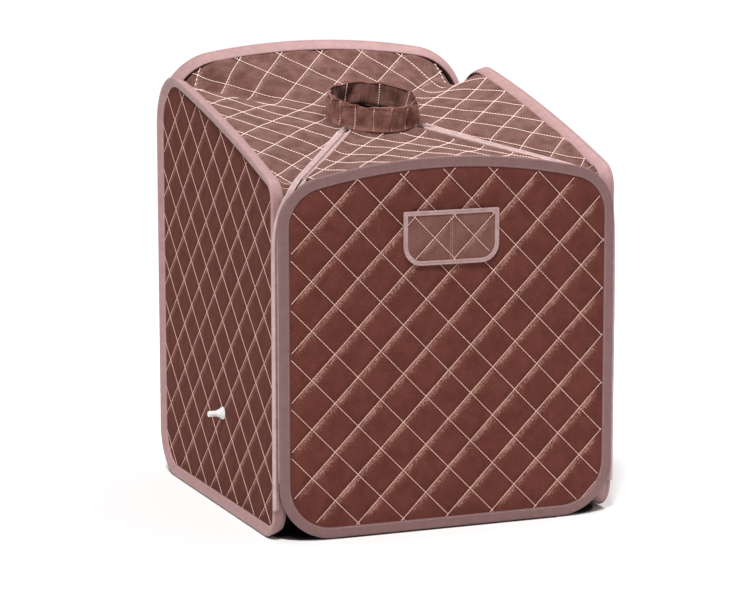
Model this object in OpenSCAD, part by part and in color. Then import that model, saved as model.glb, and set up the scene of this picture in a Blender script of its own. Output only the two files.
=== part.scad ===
// Portable steam sauna: a pop-up cloth cabin with quilted walls on sprung hoops.
// Frame: origin at the middle of the footprint on the floor, +Z up, the door flap faces -Y. Millimetres.

/* [Cabin] */
// width across the door flap and the back wall
cabin_w = 800; // [700:5:900]
// height of the back wall at the top of its arch
back_h = 1032; // [900:1:1150]
// height of the door flap at the top of its arch
flap_h = 829; // [700:1:950]
// radius of the arched top edge of the back wall
back_arch_r = 1650; // [1200:10:2500]
// radius of the arched top edge of the door flap
flap_arch_r = 1400; // [1000:10:2500]
// radius of the upper corners of the back wall
back_corner_r = 155; // [60:1:200]
// radius of the upper corners of the door flap
flap_corner_r = 110; // [60:1:180]
// radius of the bottom corners of the back wall and the flap
foot_corner_r = 125; // [60:1:180]

/* [Side walls] */
// radius of the slightly arched, sloping top edge
side_arch_r = 5000; // [3000:50:9000]
// distance of that arc's centre behind the cabin's middle
side_arch_y = 1211; // [1000:1:2000]
// height of that arc's centre, below the floor
side_arch_z = -3946; // [-8000:1:-2000]
// radius of the upper rear corner
side_rear_r = 125; // [40:1:160]
// radius of the upper front corner
side_front_r = 60; // [30:1:120]
// radius of the lower rear corner
side_rear_foot_r = 110; // [40:1:160]
// radius of the lower front corner
side_front_foot_r = 65; // [30:1:120]

/* [Cloth and hoops] */
// thickness of a quilted wall
wall_t = 8; // [4:0.5:14]
// width of the edge binding
bind_w = 24; // [12:1:36]
// thickness of the edge binding over the wall
bind_t = 12; // [9:0.5:20]
// cover of the binding outside the sprung hoop
hoop_cover = 2; // [1:0.5:4]
// radial thickness of the sprung steel strip
hoop_t = 3; // [1:0.5:4]
// thickness of the quilted top
top_t = 6; // [3:0.5:10]
// thickness of the floor mat
mat_t = 3; // [2:0.5:6]

/* [Neck collar] */
// inside radius of the neck opening
neck_r = 100; // [80:1:130]
// thickness of the collar
collar_t = 8; // [4:0.5:12]
// height of the collar
collar_h = 63; // [30:1:90]
// height of the collar's base at its middle
collar_z = 868; // [800:1:950]
// distance of the collar's middle behind the cabin's middle
collar_y = 42; // [-60:1:80]
// forward slope of the collar's base, in degrees
collar_tilt = 12; // [0:0.5:20]
// half angle of the collar's front part
collar_front_a = 49.6; // [30:0.1:80]
// half angle left free at each split for the zip
split_a = 6.4; // [3:0.1:12]

/* [Zips] */
// start of the right top zip beside the collar, left to right
zip_x0 = 88; // [70:1:130]
// start of the right top zip, front to back
zip_y0 = -33; // [-120:1:0]
// height of the zip's start
zip_z0 = 858; // [800:1:900]
// end of the right top zip at the front corner, left to right
zip_x1 = 355; // [300:1:380]
// end of the right top zip, front to back
zip_y1 = -403; // [-420:1:-350]
// height of the zip's end
zip_z1 = 778; // [700:1:850]
// half the gap between the two rows of coil
coil_gap = 0.8; // [0.5:0.1:2]
// width of one zip tape
tape_w = 9.7; // [6:0.1:16]
// thickness of a zip tape
tape_t = 1.2; // [0.6:0.1:2]
// travel of a slider along the top zip
slider_travel = 380; // [100:1:400]
// length of a pull tab
pull_len = 26; // [15:1:40]

/* [Pocket] */
// width of the pocket
pocket_w = 227; // [150:1:300]
// height of the pocket
pocket_h = 120; // [80:1:180]
// height of the pocket's mouth above the floor
pocket_top = 715; // [500:1:760]
// radius of the pocket's lower corners
pocket_r = 43; // [10:1:60]
// depth of the pocket
pocket_gap = 6; // [4.5:0.5:15]
// width of the pocket's edging
pocket_edge = 10; // [5:1:16]

/* [Steam inlet] */
// distance of the inlet in front of the cabin's middle
inlet_y = -40; // [-200:1:200]
// height of the inlet above the floor
inlet_z = 220; // [80:1:400]
// radius of the outer flange
inlet_flange_r = 14.5; // [10:0.5:25]
// radius of the hose spigot
spigot_r = 6.75; // [4:0.05:10]
// radius of the steam passage
steam_r = 4.25; // [2:0.05:7]
// how far the spigot stands out from the wall
spigot_out = 36; // [20:1:60]
// radius of the threaded neck through the wall
neck_thread_r = 8; // [6:0.1:12]

/* [Hidden] */

half_w = cabin_w / 2;
bind_over = (bind_t - wall_t) / 2;
hoop_in = hoop_cover + hoop_t;
outer_y = 421;                       // outermost face of the flap's and the back wall's bindings
front_in = -outer_y + bind_t;        // inner face of the flap's binding
side_y0 = front_in + 5;              // front end of the side walls
side_y1 = outer_y - bind_t;          // rear end of the side walls, against the back wall
side_x = half_w + 1;                 // outermost face of the side walls' bindings
clear = 0.3;                         // gap between cloths of different bodies
arc_n = 14;                          // steps in a corner arc
fabric = [0.40, 0.21, 0.18];
fabric_top = [0.50, 0.33, 0.30];
piping = [0.66, 0.50, 0.50];
steel = [0.62, 0.63, 0.65];
plastic = [0.93, 0.93, 0.92];
dark = [0.14, 0.11, 0.11];

// points of one arc: centre, radius less the inset, first and last angle
function arc(c, r, a0, a1, n) =
    [for (i = [0:n]) let (a = a0 + (a1 - a0) * i / n) [c[0] + r * cos(a), c[1] + r * sin(a)]];

// outline of an upright panel with an arched top, drawn inset by d
function arched(h, arch_r, corner_r, d) =
    let (lean = asin((half_w - corner_r) / (arch_r - corner_r)),
         arch_z = h - arch_r,
         cz = arch_z + (arch_r - corner_r) * cos(lean),
         cx = half_w - corner_r,
         fx = half_w - foot_corner_r)
    concat(arc([-fx, foot_corner_r], foot_corner_r - d, 180, 270, arc_n),
           arc([fx, foot_corner_r], foot_corner_r - d, 270, 360, arc_n),
           arc([cx, cz], corner_r - d, 0, 90 - lean, arc_n),
           arc([0, arch_z], arch_r - d, 90 - lean + 1, 90 + lean - 1, arc_n),
           arc([-cx, cz], corner_r - d, 90 + lean, 180, arc_n));

// centre height of a corner arc that touches the sloping top arc of a side wall
function side_corner_z(y, r) = side_arch_z + sqrt(pow(side_arch_r - r, 2) - pow(side_arch_y - y, 2));

// outline of a side wall (front to back, up), drawn inset by d
function side_outline(d) =
    let (yf = side_y0 + side_front_r, yr = side_y1 - side_rear_r,
         zf = side_corner_z(yf, side_front_r), zr = side_corner_z(yr, side_rear_r),
         af = atan2(zf - side_arch_z, yf - side_arch_y),
         ar = atan2(zr - side_arch_z, yr - side_arch_y))
    concat(arc([side_y0 + side_front_foot_r, side_front_foot_r], side_front_foot_r - d, 180, 270, arc_n),
           arc([side_y1 - side_rear_foot_r, side_rear_foot_r], side_rear_foot_r - d, 270, 360, arc_n),
           arc([yr, zr], side_rear_r - d, 0, ar, arc_n),
           arc([side_arch_y, side_arch_z], side_arch_r - d, ar + 0.2, af - 0.2, arc_n),
           arc([yf, zf], side_front_r - d, af, 180, arc_n));

module flap_shape(d) { polygon(arched(flap_h, flap_arch_r, flap_corner_r, d)); }
module back_shape(d) { polygon(arched(back_h, back_arch_r, back_corner_r, d)); }
module side_shape(d) { polygon(side_outline(d)); }

// stands a shape drawn in X and Z up at y0, thickness t towards +Y
module upright(y0, t) { translate([0, y0 + t, 0]) rotate([90, 0, 0]) linear_extrude(t) children(); }
// stands a shape drawn in Y and Z up at x0, thickness t towards +X
module sideways(x0, t) { translate([x0, 0, 0]) rotate([90, 0, 90]) linear_extrude(t) children(); }

// ---- back wall ----
module back_panel() {
    color(fabric) upright(side_y1 + bind_over, wall_t) back_shape(hoop_in);
}
module back_binding() {
    color(piping) difference() {
        upright(side_y1, bind_t) difference() { back_shape(0); back_shape(bind_w); }
        upright(side_y1 + bind_over, wall_t) back_shape(hoop_cover);
    }
}
module back_hoop() {
    color(steel) upright(side_y1 + bind_over, wall_t)
        difference() { back_shape(hoop_cover); back_shape(hoop_in); }
}

// ---- side walls: drawn on the right, mirrored to the left ----
module side_panel() { sideways(side_x - bind_t + bind_over, wall_t) side_shape(hoop_in); }
module side_binding() {
    difference() {
        sideways(side_x - bind_t, bind_t) difference() { side_shape(0); side_shape(bind_w); }
        sideways(side_x - bind_t + bind_over, wall_t) side_shape(hoop_cover);
    }
}
module side_hoop() {
    sideways(side_x - bind_t + bind_over, wall_t)
        difference() { side_shape(hoop_cover); side_shape(hoop_in); }
}
module right_panel() { color(fabric) side_panel(); }
module right_binding() { color(piping) side_binding(); }
module right_hoop() { color(steel) side_hoop(); }
module left_panel() {
    color(fabric) difference() {
        mirror([1, 0, 0]) side_panel();
        translate([-side_x - 5, inlet_y, inlet_z]) rotate([0, 90, 0])
            cylinder(r = neck_thread_r + 0.2, h = 25, $fn = 48);
    }
}
module left_binding() { color(piping) mirror([1, 0, 0]) side_binding(); }
module left_hoop() { color(steel) mirror([1, 0, 0]) side_hoop(); }

// ---- door flap ----
module front_panel() {
    color(fabric) upright(-outer_y + bind_over, wall_t) translate([0, 3]) flap_shape(hoop_in);
}
module front_binding() {
    color(piping) difference() {
        upright(-outer_y, bind_t) translate([0, 3]) difference() { flap_shape(0); flap_shape(bind_w); }
        upright(-outer_y + bind_over, wall_t) translate([0, 3]) flap_shape(hoop_cover);
    }
}
module front_hoop() {
    color(steel) upright(-outer_y + bind_over, wall_t)
        translate([0, 3]) difference() { flap_shape(hoop_cover); flap_shape(hoop_in); }
}

// ---- floor ----
module floor_mat() {
    w = half_w - bind_t - 1;
    y0 = side_y0 + 1;
    y1 = side_y1 - 1;
    r = 60;
    color(dark) linear_extrude(mat_t) polygon(concat(
        arc([-w + r, y0 + r], r, 180, 270, arc_n), arc([w - r, y0 + r], r, 270, 360, arc_n),
        arc([w - r, y1 - r], r, 0, 90, arc_n), arc([-w + r, y1 - r], r, 90, 180, arc_n)));
}
// cloth strip under the flap's foot that joins it to the floor
module front_hem() {
    w = half_w - foot_corner_r - 10;
    color(fabric) difference() {
        translate([-w, -outer_y + 2, 0]) cube([2 * w, side_y0 + 1 + outer_y - 2, 2]);
        floor_mat();
    }
}

// ---- quilted top ----
// height of the cloth where it meets the walls
function back_edge_z(x) = abs(x) < 275 ? back_h - back_arch_r + sqrt(pow(back_arch_r, 2) - x * x)
    : back_h - back_arch_r + (back_arch_r - back_corner_r) * 0.98601
      + sqrt(max(0, pow(back_corner_r, 2) - pow(abs(x) - half_w + back_corner_r, 2)));
function side_edge_z(y) =
    let (yf = side_y0 + side_front_r, yr = side_y1 - side_rear_r)
    y > yr ? side_corner_z(yr, side_rear_r) + sqrt(max(0, pow(side_rear_r, 2) - pow(y - yr, 2)))
    : y < yf ? side_corner_z(yf, side_front_r) + sqrt(max(0, pow(side_front_r, 2) - pow(y - yf, 2)))
    : side_arch_z + sqrt(pow(side_arch_r, 2) - pow(side_arch_y - y, 2));
function flap_edge_z(x) = abs(x) < 310 ? flap_h + 3 - flap_arch_r + sqrt(pow(flap_arch_r, 2) - x * x)
    : 689 + sqrt(max(0, pow(flap_corner_r, 2) - pow(abs(x) - half_w + flap_corner_r, 2)));
under_rim = 15;

// plan points of the outer edge of the top, from the right zip round the back to the left zip
top_x = half_w - bind_t + 1 - clear;
top_y1 = side_y1 - clear;
zip_dir = [zip_x1 - zip_x0, zip_y1 - zip_y0] / norm([zip_x1 - zip_x0, zip_y1 - zip_y0]);
zip_out = [-zip_dir[1], zip_dir[0]];
seam = tape_w + coil_gap;
zip_len = norm([zip_x1 - zip_x0, zip_y1 - zip_y0, zip_z1 - zip_z0]);
zip_yaw = atan2(zip_dir[1], zip_dir[0]);
zip_pitch = asin((zip_z0 - zip_z1) / zip_len);
side_steps = 14;
back_steps = 16;
function half_edge() = concat(
    [[zip_x1 + zip_out[0] * seam, zip_y1 + zip_out[1] * seam, zip_z1]],
    [for (i = [0:side_steps]) let (y = side_y0 + 4 + (top_y1 - side_y0 - 4) * i / side_steps)
        [top_x, y, max(side_edge_z(y) - under_rim, i > side_steps / 2 ? 880 : 735)]],
    [for (i = [1:back_steps / 2]) let (x = top_x * (1 - i * 2 / back_steps))
        [x, top_y1, max(back_edge_z(x) - under_rim, 880)]]);
function mirrored(p) = [for (i = [len(p) - 2:-1:0]) [-p[i][0], p[i][1], p[i][2]]];
top_edge = concat(half_edge(), mirrored(half_edge()));

// height of the cloth where it meets the collar
function neck_z(x, y) = collar_z + 3 + (y - collar_y) * tan(collar_tilt);
sheet_r = neck_r + collar_t + clear;
// point of the neck seam on the line that ends at outer point e
function neck_point(e) =
    let (a = atan2(e[1] - collar_y, e[0]), turn = a < -90 ? a + 360 : a,
         b = 90 + (turn - 90) * (180 - collar_front_a - split_a) / (90 - atan2(zip_y1 - collar_y, zip_x1)),
         x = sheet_r * cos(b), y = collar_y + sheet_r * sin(b))
    [x, y, neck_z(x, y)];
// sag of a line: straight beside the zips, hollow towards the sides and the back
function sag(e) = 1 + 0.55 * min(1, max(0, (e[1] + 380) / 300));

// shell between two lines of points: grid[i][j] runs along i round the edge and j outwards
module shell(grid, t) {
    ni = len(grid);
    nj = len(grid[0]);
    top = [for (row = grid) for (p = row) p + [0, 0, t / 2]];
    bottom = [for (row = grid) for (p = row) p - [0, 0, t / 2]];
    n = ni * nj;
    faces_top = [for (i = [0:ni - 2]) for (j = [0:nj - 2])
        let (a = i * nj + j) each [[a, a + nj, a + 1], [a + 1, a + nj, a + nj + 1]]];
    faces_bottom = [for (i = [0:ni - 2]) for (j = [0:nj - 2])
        let (a = n + i * nj + j) each [[a, a + 1, a + nj], [a + 1, a + nj + 1, a + nj]]];
    ends = [for (j = [0:nj - 2]) let (b = (ni - 1) * nj)
        each [[j, j + 1, n + j], [j + 1, n + j + 1, n + j],
              [b + j, n + b + j, b + j + 1], [b + j + 1, n + b + j, n + b + j + 1]]];
    sides = [for (i = [0:ni - 2]) let (a = i * nj, c = a + nj - 1)
        each [[a, n + a, a + nj], [a + nj, n + a, n + a + nj],
              [c, c + nj, n + c], [c + nj, n + c + nj, n + c]]];
    polyhedron(points = concat(top, bottom), faces = concat(faces_top, faces_bottom, ends, sides));
}

top_rings = 9;
module top_sheet() {
    grid = [for (e = top_edge) let (s = neck_point(e), k = sag(e))
        [for (j = [0:top_rings]) let (u = j / top_rings)
            [s[0] + (e[0] - s[0]) * u, s[1] + (e[1] - s[1]) * u, s[2] + (e[2] - s[2]) * pow(u, k)]]];
    color(fabric_top) shell(grid, top_t);
}
// the gusset's corners are cut back, so that they clear the zip as the top flap lifts
gusset_x = 318;                      // half width of its front edge
gusset_cut = 0.87;                   // share of the zip that its slanting edge follows
gusset_steps = 20;
// outer point of the gusset's line number i
function gusset_edge(i) =
    i > 0 && i < gusset_steps
    ? let (x = gusset_x * (2 * (i - 1) / (gusset_steps - 2) - 1))
        [x, front_in + 2, min(flap_edge_z(x) - under_rim, 812)]
    : let (s = i == 0 ? -1 : 1)
        [s * (zip_x0 + (zip_x1 - zip_x0) * gusset_cut - zip_out[0] * (seam + clear)),
         zip_y0 + (zip_y1 - zip_y0) * gusset_cut - zip_out[1] * (seam + clear),
         zip_z0 + (zip_z1 - zip_z0) * gusset_cut];
module top_gusset() {
    rings = 9;
    a = collar_front_a - 6;
    // straight beside the zips; in the middle it drops from the collar and runs level to the flap
    grid = [for (i = [0:gusset_steps]) let (e = gusset_edge(i), t = 2 * i / gusset_steps - 1, b = -90 + a * t,
                sx = sheet_r * cos(b), sy = collar_y + sheet_r * sin(b), sz = neck_z(sx, sy),
                k = 1 - 0.45 * (1 - pow(t, 4)))
        [for (j = [0:rings]) let (u = j / rings)
            [sx + (e[0] - sx) * u, sy + (e[1] - sy) * u, sz + (e[2] - sz) * pow(u, k)]]];
    color(fabric_top) shell([for (row = grid) [for (j = [rings:-1:0]) row[j]]], top_t);
}

// ---- neck collar ----
module collar_part(a0, a1) {
    translate([0, collar_y, collar_z]) rotate([collar_tilt, 0, 0]) rotate([0, 0, a0])
        rotate_extrude(angle = a1 - a0, $fn = 96) translate([neck_r, 0]) square([collar_t, collar_h]);
}
module collar_rear() {
    color(fabric) collar_part(-90 + collar_front_a + split_a, 270 - collar_front_a - split_a);
}
module collar_front() { color(fabric) collar_part(-90 - collar_front_a, -90 + collar_front_a); }

// ---- zips: drawn on the right, mirrored to the left ----
module along_zip() {
    translate([zip_x0, zip_y0, zip_z0]) rotate([0, 0, zip_yaw]) rotate([0, zip_pitch, 0]) children();
}
// a row of coil on its tape, from x0 to x1, on the side given by s
module zip_row(x0, x1, s) {
    y0 = s > 0 ? coil_gap : -coil_gap - tape_w;
    c0 = s > 0 ? coil_gap : -coil_gap - 2.4;
    union() {
        translate([x0, y0, -tape_t / 2]) cube([x1 - x0, tape_w, tape_t]);
        translate([x0, c0, -1.6]) cube([x1 - x0, 2.4, 3.2]);
    }
}
slider_len = 14;
module zip_top_body() { along_zip() zip_row(2, zip_len - 12, 1); }
module zip_top_flap() { along_zip() zip_row(slider_len + 4, zip_len * gusset_cut, -1); }
side_zip_z0 = foot_corner_r + 8;
side_zip_h = 686 - side_zip_z0;
module zip_side_body() {
    union() {
        translate([side_x - 10, side_y0 - 2, side_zip_z0]) cube([8, 2, side_zip_h]);
        translate([side_x - 7.5, side_y0 - 2.4, side_zip_z0]) cube([3, 1, side_zip_h]);
    }
}
module zip_side_flap() {
    union() {
        translate([side_x - 10, front_in, side_zip_z0]) cube([8, 1.6, side_zip_h]);
        translate([side_x - 7.5, front_in + 1, side_zip_z0]) cube([3, 1, side_zip_h]);
    }
}
module slider_body() {
    along_zip() translate([2, 0, 0]) union() {
        translate([0, -6, 2.2]) cube([slider_len, 12, 1.6]);
        translate([0, -6, -3.8]) cube([slider_len, 12, 1.6]);
        translate([0, -0.5, -3]) cube([3, 1, 6]);
        for (s = [-6, 4.6]) {
            translate([0, s, 1]) cube([slider_len, 1.4, 2]);
            translate([0, s, -3]) cube([slider_len, 1.4, 2]);
        }
        for (s = [-2.8, 1.8]) translate([1.5, s, 3.4]) difference() {
            cube([5, 1, 4.2]);
            translate([2.5, -1, 2.4]) rotate([-90, 0, 0]) cylinder(r = 0.85, h = 3, $fn = 24);
        }
    }
}
module pull_tab() {
    along_zip() translate([2, 0, 0]) translate([4, 0, 5.8]) union() {
        translate([0, -2.9, 0]) rotate([-90, 0, 0]) cylinder(r = 0.8, h = 5.8, $fn = 24);
        translate([0, -1.4, -0.7]) cube([6, 2.8, 1.4]);
        difference() {
            translate([5, -3.5, -0.7]) cube([pull_len - 5, 7, 1.4]);
            translate([pull_len - 5, 0, -2]) cylinder(r = 1.6, h = 4, $fn = 24);
        }
    }
}
module zip_right_top_body() { color(piping) zip_top_body(); }
module zip_right_top_flap() { color(piping) zip_top_flap(); }
module zip_right_side_body() { color(piping) zip_side_body(); }
module zip_right_side_flap() { color(piping) zip_side_flap(); }
module zip_left_top_body() { color(piping) mirror([1, 0, 0]) zip_top_body(); }
module zip_left_top_flap() { color(piping) mirror([1, 0, 0]) zip_top_flap(); }
module zip_left_side_body() { color(piping) mirror([1, 0, 0]) zip_side_body(); }
module zip_left_side_flap() { color(piping) mirror([1, 0, 0]) zip_side_flap(); }
module slider_right() { color(steel) slider_body(); }
module slider_left() { color(steel) mirror([1, 0, 0]) slider_body(); }
module pull_right() { color(steel) pull_tab(); }
module pull_left() { color(steel) mirror([1, 0, 0]) pull_tab(); }

// ---- pocket on the flap ----
pocket_face = -outer_y + bind_over;  // outer face of the flap's quilted wall
module pocket_shape(d) {
    w = pocket_w / 2;
    z0 = pocket_top - pocket_h;
    polygon(concat([[w - d, pocket_top - (d > 0 ? -1 : 0)], [-w + d, pocket_top - (d > 0 ? -1 : 0)]],
        arc([-w + pocket_r, z0 + pocket_r], pocket_r - d, 180, 270, arc_n),
        arc([w - pocket_r, z0 + pocket_r], pocket_r - d, 270, 360, arc_n)));
}
module pocket_panel() {
    color(fabric) upright(pocket_face - pocket_gap - 2, 2) pocket_shape(0);
}
module pocket_edging() {
    color(piping) upright(pocket_face - pocket_gap, pocket_gap)
        difference() { pocket_shape(0); pocket_shape(pocket_edge); }
}

// ---- steam inlet on the left wall ----
wall_out = -side_x + bind_over;      // outer face of the left wall's quilted part
module inlet_spigot() {
    reach = spigot_out + wall_t + 10;
    profile = [[steam_r, 0], [spigot_r - 0.8, 0], [spigot_r, 1.5], [spigot_r, 20], [9, 24], [9, 26.5],
        [7.6, 27], [7.6, 28.5], [10.5, 29], [10.5, 32.5], [inlet_flange_r, 33],
        [inlet_flange_r, spigot_out], [neck_thread_r, spigot_out], [neck_thread_r, reach], [steam_r, reach]];
    color(plastic) translate([wall_out - spigot_out, inlet_y, inlet_z]) rotate([0, 90, 0])
        rotate_extrude($fn = 64) polygon(profile);
}
module inlet_washer() {
    color(dark) translate([wall_out + wall_t, inlet_y, inlet_z]) rotate([0, 90, 0]) difference() {
        cylinder(r = 15, h = 2, $fn = 64);
        translate([0, 0, -1]) cylinder(r = neck_thread_r + 0.1, h = 4, $fn = 64);
    }
}
module inlet_nut() {
    color(plastic) translate([wall_out + wall_t + 2, inlet_y, inlet_z]) rotate([0, 90, 0]) difference() {
        union() {
            cylinder(r = 14, h = 2, $fn = 64);
            cylinder(r = 12.5, h = 6, $fn = 6);
        }
        translate([0, 0, -1]) cylinder(r = neck_thread_r + 0.05, h = 8, $fn = 64);
    }
}

back_panel();
back_binding();
back_hoop();
left_panel();
left_binding();
left_hoop();
right_panel();
right_binding();
right_hoop();
front_panel();
front_binding();
front_hoop();
floor_mat();
front_hem();
top_sheet();
top_gusset();
collar_rear();
collar_front();
zip_right_top_body();
zip_right_top_flap();
zip_right_side_body();
zip_right_side_flap();
zip_left_top_body();
zip_left_top_flap();
zip_left_side_body();
zip_left_side_flap();
slider_right();
slider_left();
pull_right();
pull_left();
pocket_panel();
pocket_edging();
inlet_spigot();
inlet_washer();
inlet_nut();
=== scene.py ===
"""Looks of a portable steam sauna: quilted walls on sprung hoops, a sagging quilted top, a gathered collar,
zips, a pocket and a steam inlet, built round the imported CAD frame. Metres, +Z up, the door flap faces -Y."""
import math

import bpy
import numpy as np
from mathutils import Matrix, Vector
from mathutils.bvhtree import BVHTree


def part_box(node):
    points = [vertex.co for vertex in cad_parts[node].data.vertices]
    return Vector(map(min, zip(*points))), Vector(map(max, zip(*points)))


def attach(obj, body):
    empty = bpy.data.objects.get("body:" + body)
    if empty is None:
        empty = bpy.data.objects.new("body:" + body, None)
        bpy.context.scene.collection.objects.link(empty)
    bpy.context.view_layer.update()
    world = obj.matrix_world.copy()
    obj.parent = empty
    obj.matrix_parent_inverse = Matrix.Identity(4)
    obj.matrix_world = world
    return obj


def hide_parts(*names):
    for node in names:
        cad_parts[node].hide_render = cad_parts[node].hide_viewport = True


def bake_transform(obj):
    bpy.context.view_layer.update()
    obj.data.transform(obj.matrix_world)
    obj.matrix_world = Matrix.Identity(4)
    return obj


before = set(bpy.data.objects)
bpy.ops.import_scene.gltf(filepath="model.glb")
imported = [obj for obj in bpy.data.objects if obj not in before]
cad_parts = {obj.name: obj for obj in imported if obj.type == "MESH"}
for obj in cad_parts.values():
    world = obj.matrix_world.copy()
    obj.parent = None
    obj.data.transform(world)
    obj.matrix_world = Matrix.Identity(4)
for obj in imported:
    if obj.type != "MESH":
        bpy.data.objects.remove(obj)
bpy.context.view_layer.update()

# ---------------- driving dimensions

HALF_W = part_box("front_binding")[1][0]  # half the width of the flap and the back wall
FLAP_FACE = -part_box("front_panel")[0][1]  # outer face of the flap's quilted part, in front of the middle
BACK_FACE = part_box("back_panel")[1][1]
SIDE_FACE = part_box("right_panel")[1][0]
WALL_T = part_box("front_panel")[1][1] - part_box("front_panel")[0][1]
FLAP_Z0, FLAP_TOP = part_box("front_binding")[0][2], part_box("front_binding")[1][2]
BACK_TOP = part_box("back_binding")[1][2]
SIDE_Y0, SIDE_Y1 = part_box("right_binding")[0][1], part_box("right_binding")[1][1]
BIND_W = 0.024  # width of the edge binding
CELLS = 26  # mesh cells across one diamond of the quilting
FOOT_R = 0.125  # radius of the front and back walls' lower corners
QUARTER = math.pi / 2


def feet(left, right, foot, left_r, right_r):
    """An outline's two lower arcs. An arc is centre across, centre up, radius, first angle, last angle."""
    return [(left + left_r, foot + left_r, left_r, math.pi, 3 * QUARTER),
            (right - right_r, foot + right_r, right_r, 3 * QUARTER, 4 * QUARTER)]


def arched_arcs(z0, top, arch_r, corner_r):
    """Outline of an upright panel with an arched top, counter-clockwise from its lower left corner."""
    lean = math.asin((HALF_W - corner_r) / (arch_r - corner_r))
    arch_z, corner_x = top - arch_r, HALF_W - corner_r
    corner_z = arch_z + (arch_r - corner_r) * math.cos(lean)
    return feet(-HALF_W, HALF_W, z0, FOOT_R, FOOT_R) + [
        (corner_x, corner_z, corner_r, 0, QUARTER - lean),
        (0, arch_z, arch_r, QUARTER - lean, QUARTER + lean),
        (-corner_x, corner_z, corner_r, QUARTER + lean, math.pi),
    ]


def side_arcs():
    """Outline of a side wall: front to back across, up, with its sloping, slightly arched top."""
    arch_y, arch_z, arch_r = 1.211, -3.946, 5.0
    front_r, rear_r = 0.060, 0.125
    front_y, rear_y = SIDE_Y0 + front_r, SIDE_Y1 - rear_r

    def corner(y, r):
        z = arch_z + math.sqrt((arch_r - r) ** 2 - (arch_y - y) ** 2)
        return z, math.atan2(z - arch_z, y - arch_y)

    front_z, front_a = corner(front_y, front_r)
    rear_z, rear_a = corner(rear_y, rear_r)
    return feet(SIDE_Y0, SIDE_Y1, 0.0, 0.065, 0.110) + [
        (rear_y, rear_z, rear_r, 0, rear_a),
        (arch_y, arch_z, arch_r, rear_a, front_a),
        (front_y, front_z, front_r, front_a, math.pi),
    ]


def pocket_arcs():
    """Outline of the pocket: sharp at the mouth, round below."""
    low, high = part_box("pocket_panel")
    foot_r, sharp, mouth = 0.043, 0.004, high[2]
    return feet(low[0], high[0], low[2], foot_r, foot_r) + [
        (high[0] - sharp, mouth - sharp, sharp, 0, QUARTER),
        (low[0] + sharp, mouth - sharp, sharp, QUARTER, math.pi),
    ]


class Outline:
    """A closed outline, sampled evenly. A curve inset by d is points - d * normals."""

    def __init__(self, arcs, step=0.007):
        points, normals = [], []
        for k, (cx, cz, r, a0, a1) in enumerate(arcs):
            n = max(4, int(abs(a1 - a0) * r / step))
            for a in np.linspace(a0, a1, n + 1):
                points.append((cx + r * math.cos(a), cz + r * math.sin(a)))
                normals.append((math.cos(a), math.sin(a)))
            nx, nz, nr, na, _ = arcs[(k + 1) % len(arcs)]
            start, end = np.array(points[-1]), np.array((nx + nr * math.cos(na), nz + nr * math.sin(na)))
            gaps = int(np.linalg.norm(end - start) / step)
            for t in np.arange(1, gaps) / max(gaps, 1):
                points.append(tuple(start + (end - start) * t))
                normals.append(normals[-1])
        self.points, self.normals = np.array(points), np.array(normals)
        doubled = np.linalg.norm(self.points - np.roll(self.points, 1, axis=0), axis=1) < 1e-6
        self.points, self.normals = self.points[~doubled], self.normals[~doubled]

    def depth(self, across, up):
        """How far points lie inside the outline; negative outside."""
        found = np.empty(across.size)
        q = np.column_stack([across.ravel(), up.ravel()])
        for i in range(0, len(q), 4000):
            d = q[i:i + 4000, None, :] - self.points[None]
            near = np.argmin((d ** 2).sum(2), axis=1)
            found[i:i + 4000] = -(d[np.arange(len(near)), near] * self.normals[near]).sum(1)
        return found.reshape(across.shape)


# ---------------- materials


def shader(name):
    """A new material with its Principled shader and its node tree."""
    made = bpy.data.materials.new(name)
    made.use_nodes = True
    return made, made.node_tree.nodes["Principled BSDF"], made.node_tree


def feed(socket, value):
    """Links an input to a node's output, or sets it."""
    if isinstance(value, bpy.types.NodeSocket):
        socket.id_data.links.new(value, socket)
    else:
        socket.default_value = (*value, 1.0) if socket.type == "RGBA" else value


def feed_all(node, values):
    for name, value in values.items():
        feed(node.inputs[name], value)


def wired(tree, kind, output, **values):
    """One output of a new node whose inputs are linked or set."""
    made = tree.nodes.new("ShaderNode" + kind)
    feed_all(made, values)
    return made.outputs[output]


def noise(tree, scale, detail=2.0, rough=0.5, stretch=None):
    """A noise texture on the object's own coordinates, in metres."""
    where = wired(tree, "TexCoord", "Object")
    if stretch:
        where = wired(tree, "Mapping", "Vector", Vector=where, Scale=stretch)
    return wired(tree, "TexNoise", "Fac", Vector=where, Scale=scale, Detail=detail, Roughness=rough)


def ramp(tree, source, low, dark, high, light):
    """A colour ramp from dark at low to light at high. A plain number is a grey."""
    made = tree.nodes.new("ShaderNodeValToRGB")
    for element, place, colour in zip(made.color_ramp.elements, (low, high), (dark, light)):
        element.position = place
        element.color = (*(colour if isinstance(colour, tuple) else (colour,) * 3), 1.0)
    feed(made.inputs["Fac"], source)
    return made.outputs["Color"]


def mix(tree, factor, a, b):
    made = tree.nodes.new("ShaderNodeMix")
    made.data_type = "RGBA"
    for index, value in ((0, factor), (6, a), (7, b)):
        feed(made.inputs[index], value)
    return made.outputs[2]


def bump(tree, height, distance, strength, **under):
    return wired(tree, "Bump", "Normal", Height=height, Distance=distance, Strength=strength, **under)


def math_node(tree, operation, a, b):
    made = tree.nodes.new("ShaderNodeMath")
    made.operation = operation
    feed(made.inputs[0], a)
    feed(made.inputs[1], b)
    return made.outputs[0]


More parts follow.
